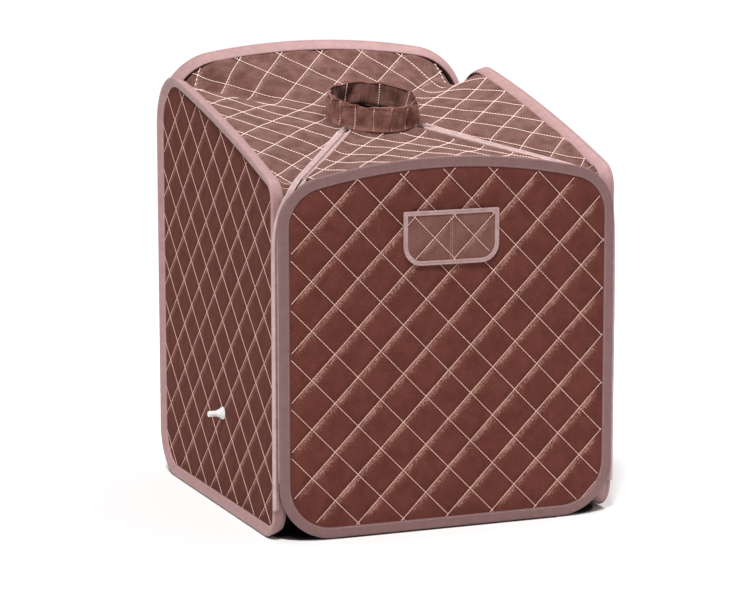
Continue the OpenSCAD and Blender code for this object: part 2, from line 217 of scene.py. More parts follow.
def velour(name, dark, mid, light, sheen):
    """Crushed velour: a short pile, nearly even, with random pale flecks, and more of them as a painted
    highlight along each diamond's upper left edge.
    """
    made, bsdf, tree = shader(name)
    cloud = ramp(tree, noise(tree, 30, 3, 0.6), 0.35, dark, 0.68, mid)
    flecks = noise(tree, 330, 3, 0.75)
    # painted highlight: a per-vertex strength adds pale flecks along each diamond's upper left edge, where the
    # light falls; the rest of the flecks are random
    highlight_attribute = tree.nodes.new("ShaderNodeAttribute")
    highlight_attribute.attribute_name = "painted_highlight"
    lifted = math_node(tree, "MULTIPLY", highlight_attribute.outputs["Fac"], 0.34)
    fleck_and_highlight_mask = ramp(tree, math_node(tree, "ADD", flecks, lifted), 0.62, 0, 0.80, 0.85)
    pits = ramp(tree, noise(tree, 420, 2, 0.6), 0.34, 0.45, 0.46, 0)
    feed_all(bsdf, {
        "Base Color": mix(tree, pits, mix(tree, fleck_and_highlight_mask, cloud, light), tuple(c * 0.45 for c in dark)),
        "Roughness": ramp(tree, flecks, 0.2, 0.75, 0.8, 0.95),
        "Normal": bump(tree, noise(tree, 150, 3, 0.6), 0.0014, 0.5, Normal=bump(tree, flecks, 0.0008, 0.7)),
        "Specular IOR Level": 0.12, "Sheen Weight": sheen, "Sheen Roughness": 0.40,
        "Sheen Tint": (0.95, 0.72, 0.66)})
    return made


def ribbon(name, dark, light, rib=900):
    """Woven binding tape: fine ribs, faint unevenness and a satin face."""
    made, bsdf, tree = shader(name)
    tone = ramp(tree, noise(tree, 55, 3, 0.6), 0.3, dark, 0.7, light)
    grain = noise(tree, rib, 2, 0.7)
    feed_all(bsdf, {
        "Base Color": mix(tree, ramp(tree, grain, 0.35, 0.55, 0.65, 0), tone, dark),
        "Normal": bump(tree, grain, 0.0004, 0.6, Normal=bump(tree, noise(tree, 120), 0.0012, 0.35)),
        "Roughness": 0.62, "Sheen Weight": 0.15, "Sheen Roughness": 0.4})
    return made


def coated(name, dark, light, rough=0.55, scale=300):
    """Smooth coated cloth or rubber with a faint grain."""
    made, bsdf, tree = shader(name)
    grain = noise(tree, scale, 4, 0.6)
    feed_all(bsdf, {"Base Color": ramp(tree, grain, 0.3, dark, 0.7, light),
                    "Normal": bump(tree, grain, 0.0005, 0.5), "Roughness": rough})
    return made


def metal(name, colour, rough):
    """Plated or sprung metal with a faint brushed unevenness."""
    made, bsdf, tree = shader(name)
    streaks = noise(tree, 500, 3, 0.6, (1, 1, 0.15))
    feed_all(bsdf, {"Base Color": ramp(tree, streaks, 0.3, tuple(c * 0.82 for c in colour), 0.7, colour),
                    "Roughness": ramp(tree, streaks, 0.3, rough * 0.8, 0.7, rough * 1.3), "Metallic": 1.0})
    return made


def moulded(name, colour):
    """Gloss moulded plastic with a faint orange-peel surface."""
    made, bsdf, tree = shader(name)
    peel = noise(tree, 420, 3, 0.5)
    feed_all(bsdf, {"Base Color": ramp(tree, peel, 0.3, tuple(c * 0.96 for c in colour), 0.7, colour),
                    "Normal": bump(tree, peel, 0.0002, 0.5), "Roughness": 0.28, "Coat Weight": 0.3})
    return made


QUILT = velour("quilt_velour", (0.100, 0.027, 0.020), (0.128, 0.037, 0.028), (0.40, 0.21, 0.165), 0.0)
# painted light: the same velour as the walls, with a lighter, greyer base for the top cloths, standing in for
# the light from above
TOP_QUILT_PAINTED_LIGHT = velour("top_quilt_painted_light_velour", (0.105, 0.042, 0.033), (0.185, 0.088, 0.072), (0.52, 0.34, 0.29), 0.45)
COLLAR_QUILT = velour("collar_velour", (0.175, 0.072, 0.056), (0.350, 0.170, 0.140), (0.66, 0.45, 0.39), 0.25)
POCKET_QUILT = velour("pocket_velour", (0.150, 0.064, 0.050), (0.190, 0.086, 0.069), (0.36, 0.20, 0.165), 0.15)
LINING = coated("lining_cloth", (0.050, 0.020, 0.016), (0.085, 0.036, 0.030), 0.7)
BINDING = ribbon("binding_tape", (0.33, 0.185, 0.180), (0.42, 0.25, 0.245))
# painted shade: the same tape as the other binding, darker on the door flap, which faces away from the light
FRONT_BINDING_PAINTED_SHADE = ribbon("front_binding_tape_painted_shade", (0.165, 0.082, 0.080), (0.205, 0.108, 0.106))
THREAD = ribbon("quilting_thread", (0.80, 0.47, 0.39), (0.95, 0.62, 0.53), 2500)
# painted light: a paler copy of the quilting thread for the top cloths, the collar and the corner seams,
# standing in for the light from above
TOP_THREAD_PAINTED_LIGHT = ribbon("top_quilting_thread_painted_light", (0.90, 0.62, 0.55), (1.0, 0.76, 0.69), 2500)
FLOOR_CLOTH = coated("floor_cloth", (0.020, 0.014, 0.014), (0.045, 0.034, 0.034), 0.75)
PIPING = ribbon("piping_tape", (0.33, 0.20, 0.195), (0.46, 0.30, 0.29), 1100)
ZIP_BAND = ribbon("zip_band_tape", (0.42, 0.28, 0.27), (0.60, 0.43, 0.42), 1100)
COIL = moulded("zip_coil", (0.30, 0.16, 0.155))
STEEL = metal("spring_steel", (0.55, 0.55, 0.57), 0.35)
PLATE = metal("bright_plate", (0.80, 0.80, 0.82), 0.22)
WHITE = moulded("white_plastic", (0.86, 0.86, 0.85))
RUBBER = coated("washer_rubber", (0.018, 0.018, 0.018), (0.030, 0.030, 0.030), 0.6, 500)

# ---------------- mesh helpers


def build(name, parts, materials, body, replaces=(), smooth=True):
    """A mesh object, riding on a body if one is given. parts: vertices, faces and any material indices."""
    verts, faces, *which = parts
    mesh = bpy.data.meshes.new(name)
    mesh.from_pydata(np.asarray(verts).tolist(), [], [list(map(int, f)) for f in faces])
    for m in materials:
        mesh.materials.append(m)
    if which:
        mesh.polygons.foreach_set("material_index", np.asarray(which[0], np.int32))
    mesh.polygons.foreach_set("use_smooth", np.full(len(mesh.polygons), smooth))
    mesh.update()
    made = bpy.data.objects.new(name, mesh)
    bpy.context.scene.collection.objects.link(made)
    if body:
        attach(made, body)
    if replaces:
        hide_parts(*replaces)
    return made


def tube(rings, closed=True, flip=False):
    """Vertices and quads through closed rings of points, of shape (n, k, 3), with caps if it isn't closed."""
    n, k = rings.shape[:2]
    faces = []
    for i in range(n if closed else n - 1):
        a, b = i * k, (i + 1) % n * k
        for j in range(k):
            m = (j + 1) % k
            faces.append((a + j, b + j, b + m, a + m))
    if not closed:
        faces.append(tuple(range(k)))
        faces.append(tuple((n - 1) * k + j for j in range(k))[::-1])
    if flip:
        faces = [f[::-1] for f in faces]
    return rings.reshape(-1, 3), faces


def gather(parts):
    """Joins (vertices, faces) pairs into one, leaving out the empty ones."""
    verts, faces, start = [], [], 0
    for part in parts:
        if part is not None:
            verts.append(part[0])
            faces += [[i + start for i in face] for face in part[1]]
            start += len(part[0])
    return np.vstack(verts), faces


def unit(v):
    return v / np.linalg.norm(v, axis=-1, keepdims=True)


def distances(path):
    """How far along a path each of its points lies."""
    return np.concatenate([[0], np.cumsum(np.linalg.norm(np.diff(path, axis=0), axis=1))])


def sampled(at, run, values):
    """Points or vectors, given at the distances run, read at other distances."""
    return np.stack([np.interp(at, run, values[:, k]) for k in range(3)], axis=-1)


def mirror(hand):
    return np.array((hand, 1, 1))


def smoothstep(x):
    x = np.clip(x, 0, 1)
    return x * x * (3 - 2 * x)


class Wall:
    """A flat wall: (across, up, out) to the row frame. out is away from the cabin's inside."""

    def __init__(self, face, axis, sign):
        self.face, self.axis, self.sign = face, axis, sign

    def at(self, across, up, out):
        depth = self.sign * (self.face + np.asarray(out, float))
        across, up, depth = np.broadcast_arrays(across, up, depth)
        return np.stack([across, depth, up] if self.axis == "y" else [depth, across, up], axis=-1)

    @property
    def outward(self):
        return self.at(0, 0, 1.0) - self.at(0, 0, 0.0)

    @property
    def turned(self):
        """True if across, up and out make a left-handed set."""
        return (self.axis == "y") == (self.sign > 0)


def ripple(a, b, seed=0.0):
    """Small uneven softness of padded cloth."""
    return (np.sin(61 * a + 17 * b + seed) * np.sin(43 * b - 23 * a + 2.1 * seed)
            + 0.6 * np.sin(137 * a - 71 * b + seed) * np.sin(113 * b + 59 * a)) / 1.6


PUFF = 0.0042  # rise of a diamond's middle over its stitch lines
THREAD_OUT = 0.0008  # how far the stitches stand out from a flat wall
PUCKER = 0.0018  # depth of the short gathers beside a stitch line


class Quilting:
    """Diamonds with a crossing of their stitch lines at origin. repeat is a diamond's width and height."""

    def __init__(self, origin, repeat, seed=0.0, mirrored=False):
        self.origin, self.repeat, self.seed, self.mirrored = origin, repeat, seed, mirrored
        self.step = (repeat[0] / CELLS, repeat[1] / CELLS)

    def grid(self, low, high):
        """Points on the lattice's own grid, so that its lines run along the cells' diagonals."""
        axes = []
        for lo, hi, o, step in zip(low, high, self.origin, self.step):
            axes.append(o + step * np.arange(math.floor((lo - o) / step), math.ceil((hi - o) / step) + 1))
        return np.meshgrid(*axes, indexing="ij")

    def phases(self, a, b):
        u, v = (a - self.origin[0]) / self.repeat[0], (b - self.origin[1]) / self.repeat[1]
        return u + v, u - v

    def rise(self, a, b, puff=PUFF):
        """Height of the padding over its stitch lines, with the gathers that the thread draws."""
        p, q = self.phases(a, b)
        s, t = np.abs(np.sin(math.pi * p)), np.abs(np.sin(math.pi * q))
        full = (1 - np.exp(-(s / 0.26) ** 1.4)) * (1 - np.exp(-(t / 0.26) ** 1.4))
        soft = full * (puff + 0.15 * puff * ripple(a, b, self.seed))
        drawn = 0
        for along, off in ((q, s), (p, t)):
            wave = np.sin(along * 100 + 2.4 * np.sin(along * 19 + self.seed))
            drawn = drawn + (wave + 0.5 * np.sin(along * 43 + 1.3)) * np.exp(-(off / 0.24) ** 2) * off
        return soft + PUCKER * drawn

    def painted_highlight(self, a, b):
        """Strength of the painted highlight: most along each diamond's upper left edge, seen from outside, where
        the light falls.
        """
        p, q = self.phases(a, b)
        part = np.ceil(p) - p if self.mirrored else q - np.floor(q)
        return np.exp(-(part / 0.17) ** 2) * (0.75 + 0.25 * ripple(a, b, self.seed + 2))

    def lines(self, low, high):
        """Both sets of stitch lines that cross a rectangle, each as its two ends."""
        ends = []
        (ox, oy), (rx, ry) = self.origin, self.repeat
        for sign in (1, -1):
            corners = [(x - ox) / rx + sign * (y - oy) / ry
                       for x in (low[0], high[0]) for y in (low[1], high[1])]
            for k in range(math.ceil(min(corners)), math.floor(max(corners)) + 1):
                xs = sorted(ox + rx * (k - sign * (y - oy) / ry) for y in (low[1], high[1]))
                x0, x1 = max(xs[0], low[0]), min(xs[1], high[0])
                if x1 - x0 > 0.004:
                    ends.append([(x, oy + sign * ry * (k - (x - ox) / rx)) for x in (x0, x1)])
        return ends


def all_corners(mask):
    return mask[:-1, :-1] & mask[1:, :-1] & mask[:-1, 1:] & mask[1:, 1:]


def skin_faces(keep, past=None):
    """Cells of a grid with all corners kept and not all past a seam. Also the used vertices and the rim."""
    cells = all_corners(keep)
    if past is not None:
        cells &= ~all_corners(past)
    index = np.arange(keep.size).reshape(keep.shape)
    i, j = np.nonzero(cells)
    quads = np.column_stack([index[i, j], index[i + 1, j], index[i + 1, j + 1], index[i, j + 1]])
    used = np.zeros(keep.size, bool)
    used[quads.ravel()] = True
    number = np.cumsum(used) - 1
    quads = number[quads]
    edges = np.concatenate([quads[:, [k, (k + 1) % 4]] for k in range(4)])
    key = np.sort(edges, axis=1)
    _, back, count = np.unique(key[:, 0] * (used.sum() + 1) + key[:, 1], return_inverse=True,
                               return_counts=True)
    rim = edges[count[back.ravel()] == 1]
    return quads, used, rim


def pad(outer, inner, quads, rim, flip):
    """A closed pad: an outer and an inner skin on one grid, joined round the rim. Also each face's skin."""
    n = len(outer)
    top = quads[:, ::-1] if flip else quads
    bottom = (quads if flip else quads[:, ::-1]) + n
    a, b = rim[:, 0], rim[:, 1]
    side = np.column_stack([a, a + n, b + n, b]) if not flip else np.column_stack([b, b + n, a + n, a])
    which = np.concatenate([np.zeros(len(top)), np.ones(len(bottom)), np.ones(len(side))])
    return np.vstack([outer, inner]), np.concatenate([top, bottom, side]), which


def whole_pad(outer, inner, flip):
    """A closed pad between two whole grids of points."""
    quads, _, rim = skin_faces(np.ones(outer.shape[:2], bool))
    return pad(outer.reshape(-1, 3), inner.reshape(-1, 3), quads, rim, flip)


def stitch_mesh(points, up, radius):
    """Short thread stitches: points has each one's first, middle and last point, and up its outward normal."""
    along = points[:, 2] - points[:, 0]
    along /= np.linalg.norm(along, axis=1, keepdims=True) + 1e-12
    side = np.cross(along, up)
    middle = points[:, 1]
    ends = [points[:, k] - up * radius * 0.5 for k in (0, 2)]
    ring = [middle + side * radius - up * radius * 0.3, middle + up * radius * 0.8,
            middle - side * radius - up * radius * 0.3]
    verts = np.stack([ends[0], *ring, ends[1]], axis=1).reshape(-1, 3)
    first = np.arange(len(points))[:, None] * 5
    shape = np.array([(0, 1, 2), (0, 2, 3), (0, 3, 1), (4, 2, 1), (4, 3, 2), (4, 1, 3)])
    return verts, (first[:, :, None] + shape[None]).reshape(-1, 3)


def stitches(start, end, surface, pitch=0.0068, length=0.0128, radius=0.0012):
    """Stitches on a straight line. surface(a, b): points, their normals, and whether they are on the cloth."""
    span = np.array(end) - np.array(start)
    total = np.linalg.norm(span)
    count = int(total / pitch)
    if count < 1:
        return None
    way = span / total
    middles = (np.arange(count) + 0.5) * pitch
    tips = np.stack([middles - length / 2, middles, middles + length / 2], axis=1)
    points, normals, inside = surface(start[0] + way[0] * tips, start[1] + way[1] * tips)
    good = inside.all(axis=1)
    return stitch_mesh(points[good], normals[good, 1], radius) if good.any() else None


def stitch_run(path, up, pitch=0.0045, length=0.0032, radius=0.00055):
    """Stitches that follow a path of points. up is the outward normal at each of them."""
    run = distances(path)
    count = int(run[-1] / pitch)
    middles = (np.arange(count) + 0.5) * run[-1] / count
    tips = np.stack([middles - length / 2, middles, middles + length / 2], axis=1)
    return stitch_mesh(sampled(tips, run, path), unit(sampled(middles, run, up)), radius)


# ---------------- quilted walls


def flared(flare, along, over, out=0.0005):
    """Inset and height of a point of the binding: along it from its inner edge, and over its middle."""
    turn = math.radians(flare)
    return (BIND_W - (along * math.cos(turn) - over * math.sin(turn)),
            -WALL_T / 2 + out + along * math.sin(turn) + over * math.cos(turn))


def binding_profile(flare):
    """Cross-section of a folded tape over the wall's edge and the hoop, flared outwards."""
    half = 0.00425
    nose_r = half * 1.1
    flat = [(0, half), (BIND_W * 0.25, half * 1.02), (BIND_W * 0.5, half), (BIND_W * 0.72, half * 1.06)]
    nose = [(BIND_W - nose_r + nose_r * math.sin(a), nose_r * math.cos(a))
            for a in np.linspace(0.35, math.pi - 0.35, 8)]
    lower = [(s, -h) for s, h in reversed(flat)]
    return [flared(flare, s, h) for s, h in flat + nose + lower]


def lap_profile(flare, wall):
    """Cross-section of the tape that bridges the flared binding and the top cloth, with its edge rolled."""
    near = flared(flare, BIND_W - 0.0030, -0.0036)
    # the top cloth falls away steeply from the back wall, so the tape there reaches further down
    far = (0.0128 if wall.axis == "x" else 0.0195, -0.0222)
    upper = [(near[0] + (far[0] - near[0]) * t - 0.0016 * math.sin(math.pi * t),
              near[1] + (far[1] - near[1]) * t) for t in np.linspace(-0.08, 1, 9)]
    rolled = [(far[0] + 0.0020, far[1] - 0.0014), (far[0] + 0.0044, far[1] - 0.0008)]
    return upper + rolled + [(inset + 0.0018, out + 0.0004) for inset, out in upper[::-1]]


def swept(wall, outline, profile, flip):
    """A profile of (inset, out) pairs carried round an outline."""
    rings = []
    for inset, out in profile:
        flat = outline.points - inset * outline.normals
        rings.append(wall.at(flat[:, 0], flat[:, 1], out))
    return tube(np.stack(rings, axis=1), flip=flip)


def seam_stitches(wall, outline, inset, out):
    """A row of stitches that follows an outline at a given inset."""
    flat = outline.points - inset * outline.normals
    closed = np.vstack([flat, flat[:1]])
    path = wall.at(closed[:, 0], closed[:, 1], out)
    return stitch_run(path, np.broadcast_to(wall.outward, path.shape))


def painted_highlight_layer(cloth, values):
    """Stores the painted highlight's strength at each vertex of a pad. Its inner skin gets none."""
    values = np.concatenate([values, np.zeros(len(values))])
    layer = cloth.data.attributes.new("painted_highlight", "FLOAT", "POINT")
    layer.data.foreach_set("value", np.clip(values, 0, 1).astype(np.float32))


def quilted_pad(name, node, wall, outline, quilting, body, edge, puff=PUFF, hole=None, material=QUILT,
                thick=WALL_T, seam=None, flare=0):
    """A flat wall's quilted pad and stitching, inside an outline. edge is the width that a binding covers."""
    low, high = outline.points.min(0), outline.points.max(0)
    a, b = quilting.grid(low, high)
    depth = outline.depth(a, b)
    keep = depth > 0.4 * edge
    swell = smoothstep((depth - edge) / 0.030)
    if hole:
        away = np.hypot(a - hole[0], b - hole[1])
        keep &= away > hole[2]
        swell = swell * smoothstep((away - hole[2] - 0.006) / 0.030)
    if seam is not None:
        swell = swell * smoothstep((np.abs(a - seam) - 0.002) / 0.014)
    rise = quilting.rise(a, b, puff)
    lean = math.tan(math.radians(flare)) * np.maximum(edge - depth, 0)
    outer = -0.0018 + rise * swell + 0.0008 * (1 - swell) + lean
    inner = -thick + 0.002 - 0.3 * rise * swell + lean
    quads, used, rim = skin_faces(keep)
    pick = used.reshape(a.shape)
    skins = [wall.at(a[pick], b[pick], out[pick]) for out in (outer, inner)]
    cloth = build(name, pad(*skins, quads, rim, wall.turned), [material, LINING], body, (node,))
    # painted highlight along each diamond's upper left edge, where the light falls
    painted_highlight_layer(cloth, (quilting.painted_highlight(a, b) * swell)[pick])

    def on_face(p, q):
        inside = outline.depth(p, q) > edge - 0.002
        if hole:
            inside &= np.hypot(p - hole[0], q - hole[1]) > hole[2] + 0.002
        points = wall.at(p, q, np.full(p.shape, THREAD_OUT))
        return points, np.broadcast_to(wall.outward, points.shape), inside

    thread = gather(stitches(s, e, on_face) for s, e in quilting.lines(low, high))
    build(name + "_thread", thread, [THREAD], body)


def quilted_wall(name, wall, outline, quilting, body, flare, hole=None, tape=BINDING):
    """One wall: its quilted pad, stitched diamonds, hoop and edge binding."""
    quilted_pad(name + "_quilt", name + "_panel", wall, outline, quilting, body, BIND_W, hole=hole, flare=flare)
    band = swept(wall, outline, binding_profile(flare), not wall.turned)
    build(name + "_edge_band", band, [tape], body, (name + "_binding",))
    outer, inner, half = BIND_W - 0.0026, BIND_W - 0.0056, 0.003
    core = [flared(flare, s, h, 0.0) for s, h in ((inner, half), (outer, half), (outer, -half), (inner, -half))]
    build(name + "_steel_hoop", swept(wall, outline, core, not wall.turned), [STEEL], body,
          (name + "_hoop",), smooth=False)
    if body == "cabin":
        lap = swept(wall, outline, lap_profile(flare, wall), wall.turned)
        build(name + "_lap_tape", lap, [BINDING], body)
    build(name + "_edge_stitches", seam_stitches(wall, outline, *flared(flare, 0.0030, 0.0043)), [THREAD], body)


FLAP_CORNER_R = 0.110
FLAP = Outline(arched_arcs(FLAP_Z0, FLAP_TOP, 1.400, FLAP_CORNER_R))
BACK = Outline(arched_arcs(0.0, BACK_TOP, 1.650, 0.155))
SIDE = Outline(side_arcs())
FRONT_WALL = Wall(FLAP_FACE, "y", -1)
BACK_WALL = Wall(BACK_FACE, "y", 1)
RIGHT_WALL = Wall(SIDE_FACE, "x", 1)
LEFT_WALL = Wall(SIDE_FACE, "x", -1)
inlet_low, inlet_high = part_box("inlet_spigot")
INLET = ((inlet_low[1] + inlet_high[1]) / 2, (inlet_low[2] + inlet_high[2]) / 2)

quilted_wall("front", FRONT_WALL, FLAP, Quilting((-0.2717, 0.7362), (0.1073, 0.1083)), "door_flap", 2,
             tape=FRONT_BINDING_PAINTED_SHADE)
quilted_wall("back", BACK_WALL, BACK, Quilting((0.0, 0.500), (0.1075, 0.1083), 1.0, True), "cabin", 14)
quilted_wall("right", RIGHT_WALL, SIDE, Quilting((-0.155, 0.331), (0.1114, 0.1060), 2.0), "cabin", 28)
quilted_wall("left", LEFT_WALL, SIDE, Quilting((-0.155, 0.331), (0.1114, 0.1060), 3.0, True), "cabin", 28,
             (*INLET, 0.0085))

# ---------------- quilted top


def beside(grid):
    """A grid's values moved one cell each way."""
    return [np.roll(grid, way, axis) for axis in (0, 1) for way in (1, -1)]


def cells_deep(there, most):
    """How many cells each point of a cloth lies from its rim, up to most."""
    depth, inside = np.zeros(there.shape), there
    for _ in range(most):
        depth += inside
        inside = np.logical_and.reduce([inside, *beside(inside)])
    return depth


def soft_height(node, a, b):
    """Height of a CAD cloth's upper face, its creases softened away from the rim, and where the cloth is."""
    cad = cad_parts[node].data
    tree = BVHTree.FromPolygons([v.co for v in cad.vertices], [tuple(p.vertices) for p in cad.polygons])
    height = np.full(a.shape, np.nan)
    for i, j in np.ndindex(a.shape):
        hit = tree.ray_cast(Vector((a[i, j], b[i, j], 1.3)), Vector((0, 0, -1)))
        if hit[0] is not None:
            height[i, j] = hit[0].z
    there = ~np.isnan(height)
    weight = there.astype(float)
    smooth = np.where(there, height, 0.0)
    for done in range(40):
        total, share = np.zeros_like(smooth), np.zeros_like(smooth)
        for di in range(-2, 3):
            for dj in range(-2, 3):
                k = math.exp(-(di * di + dj * dj) / 4)
                total += k * np.roll(smooth * weight, (di, dj), (0, 1))
                share += k * np.roll(weight, (di, dj), (0, 1))
        smooth = np.where(there, total / np.maximum(share, 1e-9), 0.0)
        if done == 4:
            near_rim = smooth
    return near_rim + (smooth - near_rim) * smoothstep((cells_deep(there, 14) - 1) / 13), there


def grow(height, there):
    """Carries heights five cells past the cloth's rim, so that slopes at the rim stay true."""
    height, there = height.copy(), there.copy()
    for _ in range(5):
        total, share = sum(beside(height * there)), sum(beside(there.astype(float)))
        fresh = ~there & (share > 0)
        height[fresh] = (total / np.maximum(share, 1e-9))[fresh]
        there |= fresh
    return height


NECK = (0.0, 0.042)
NECK_R = 0.1020  # the top cloth ends here, under the collar
ZIP_START, ZIP_END = (0.088, -0.033, 0.858), (0.355, -0.403, 0.778)
ZIP_OUT, ZIP_FORWARD = ZIP_END[0] - ZIP_START[0], ZIP_START[1] - ZIP_END[1]
ZIP_PLAN = math.hypot(ZIP_OUT, ZIP_FORWARD)  # a top zip's length seen from above
TOP_QUILTING = Quilting((-0.1519, 0.3340), (0.1054, 0.1083), 4.0)
TOP_T = 0.006


def beside_zip(a, b):
    """Distance in plan from the nearer zip's middle line, positive on the cabin's side."""
    return ((np.abs(a) - ZIP_START[0]) * ZIP_FORWARD + (b - ZIP_START[1]) * ZIP_OUT) / ZIP_PLAN


def spread(there, a, b):
    """Lets a cloth run one cell into its seams, and three where a zip or the collar covers its edge."""
    off = beside_zip(a, b)
    on_zip = (np.abs(off) < 0.014) & (np.abs(off) > 0.0015) & (b < ZIP_START[1]) & (b > ZIP_END[1])
    by_neck = np.abs(np.hypot(a - NECK[0], b - NECK[1]) - 0.106) < 0.010
    for k in range(3):
        fresh = np.logical_or.reduce(beside(there))
        there = there | (fresh & ((k == 0) & (np.abs(off) > 0.0015) | on_zip | by_neck))
    return there


def trimmed(a, b, hand, low, high):
    """Pulls points past a cloth's seams back onto them. hand is 1 for the cabin's cloth, -1 for the flap's."""
    edge = 0.0135 if hand > 0 else 0.0105
    short = np.where(b < ZIP_START[1] + 0.01, np.maximum(edge - hand * beside_zip(a, b), 0), 0)
    across = a + hand * short * np.sign(a) * ZIP_FORWARD / ZIP_PLAN
    back = b + hand * short * ZIP_OUT / ZIP_PLAN
    front = -0.372 if hand > 0 else low[1] + 0.0004
    reach = np.hypot(across - NECK[0], back - NECK[1])
    wider = np.maximum(NECK_R / np.maximum(reach, 1e-6), 1)
    across, back = NECK[0] + (across - NECK[0]) * wider, NECK[1] + (back - NECK[1]) * wider
    return (np.clip(across, low[0] + 0.0004, high[0] - 0.0004), np.clip(back, front, high[1] - 0.0004),
            (short > 0) | (b < front) | (wider > 1))


def quilted_top(name, node, body):
    """The sagging quilted cloth of one top piece, with its stitched diamonds."""
    low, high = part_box(node)
    room = 0.035
    a, b = TOP_QUILTING.grid((low[0] - room, low[1] - room), (high[0] + room, high[1] + room))
    step = TOP_QUILTING.step
    height, there = soft_height(node, a, b)
    full = grow(height, there)
    there = spread(there, a, b)
    slope_a, slope_b = np.gradient(full, *step)
    normals = unit(np.stack([-slope_a, -slope_b, np.ones_like(full)], axis=-1))
    deep = cells_deep(there, 6)
    swell = smoothstep(deep / 6)
    rise = TOP_QUILTING.rise(a, b, PUFF * 0.95)
    soft = 0.0022 * ripple(a * 0.45, b * 0.45, 5.0)
    across, back, past = trimmed(a, b, 1 if body == "cabin" else -1, low, high)
    base = np.stack([across, back, full], axis=-1)
    lift = 0.0045 * np.exp(-np.maximum(np.abs(beside_zip(a, b)) - 0.0105, 0) / 0.012)
    outer = base + normals * (rise * swell + soft * swell - 0.003 + lift)[..., None]
    inner = base - normals * (TOP_T - 0.001 + 0.4 * rise * swell - lift)[..., None]
    quads, used, rim = skin_faces(there, past)
    pick = used.reshape(a.shape)
    fixed = body if body == "cabin" else None
    parts = pad(outer[pick], inner[pick], quads, rim, False)
    cloth = build(name, parts, [TOP_QUILT_PAINTED_LIGHT, LINING], fixed, (node,))
    # the same painted highlight, weaker on the top cloth
    painted_highlight_layer(cloth, (TOP_QUILTING.painted_highlight(a, b) * swell)[pick] * 0.6)
    lifted = base + normals * (soft * swell - 0.0006 + lift)[..., None]

    def on_face(p, q):
        i = np.clip((p - a[0, 0]) / step[0], 0, a.shape[0] - 1.001)
        j = np.clip((q - b[0, 0]) / step[1], 0, a.shape[1] - 1.001)
        i0, j0 = i.astype(int), j.astype(int)
        fi, fj = (i - i0)[..., None], (j - j0)[..., None]

        def read(field):
            return ((1 - fi) * (1 - fj) * field[i0, j0] + fi * (1 - fj) * field[i0 + 1, j0]
                    + (1 - fi) * fj * field[i0, j0 + 1] + fi * fj * field[i0 + 1, j0 + 1])
        return read(lifted), read(normals), (deep[i0, j0] >= 2) & (deep[i0 + 1, j0 + 1] >= 2)

    thread = gather(stitches(s, e, on_face, radius=0.0021) for s, e in TOP_QUILTING.lines(low, high))
    thread = build(name + "_thread", thread, [TOP_THREAD_PAINTED_LIGHT], fixed)
    if not fixed:
        # the flap's cloth is sewn along the door flap's arch, so it rides on no body and stays there
        for piece in (cloth, thread):
            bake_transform(piece)


quilted_top("top_cloth", "top_sheet", "cabin")
quilted_top("top_flap_cloth", "top_gusset", "top_flap")

# ---------------- collar

COLLAR_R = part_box("collar_rear")[1][0] - 0.004  # middle of the gathered band
COLLAR_H = 0.063
COLLAR_Z = 0.868
COLLAR_TILT = math.radians(12)
GATHERS = math.radians(24)  # between two of the collar's pulled-in seams
FIRST_GATHER = math.radians(-158)
FRONT_TURN = 49.6  # half the front part's angle
SPLIT = 6.4


def collar_frame(points):
    """From the collar's own upright frame to the cabin's."""
    x, y, z = np.moveaxis(np.asarray(points, float), -1, 0)
    c, s = math.cos(COLLAR_TILT), math.sin(COLLAR_TILT)
    return np.stack([0.960 * x - 0.002, NECK[1] + c * y - s * z, COLLAR_Z + 0.003 + s * y + c * z], axis=-1)


def collar_radius(turn, height):
    """Radius of the gathered band's middle layer, and how tightly it is drawn in, at an angle and height."""
    part = (turn - FIRST_GATHER) / GATHERS
    up = np.clip(height / COLLAR_H, 0, 1)
    drawn = np.exp(-(np.abs(np.sin(math.pi * part)) / 0.16) ** 2)
    full = np.abs(np.sin(math.pi * part)) ** 0.6
    slump = np.sin(math.pi * up) ** 0.8
    folds = (0.0026 * np.sin(part * 4.1 + 3.0 * up) + 0.0013 * np.sin(part * 7.3 - 4.0 * up + 1.0)
             + 0.0005 * np.sin(part * 16 + 2 * up))
    slack = 0.0026 * np.sin(part * 2.3 + 1.1) * np.sin(math.pi * up * 1.6)
    foot = 0.0050 * np.exp(-(up / 0.10) ** 2)
    return COLLAR_R + (0.0044 * full + folds * (1 - drawn)) * (0.12 + 0.88 * slump) + slack + foot, drawn


def collar_top(turn, peaks):
    """Height of the rim: it dips between the seams and is pinched up near each of the peaks."""
    part = (turn - FIRST_GATHER) / GATHERS
    rim = COLLAR_H - 0.0035 + 0.0016 * np.abs(np.cos(math.pi * part)) ** 5 + 0.0012 * np.sin(part * 3.1)
    for where, high, wide in peaks:
        rim = rim + high * np.exp(-((turn - where) / wide) ** 2)
    return rim


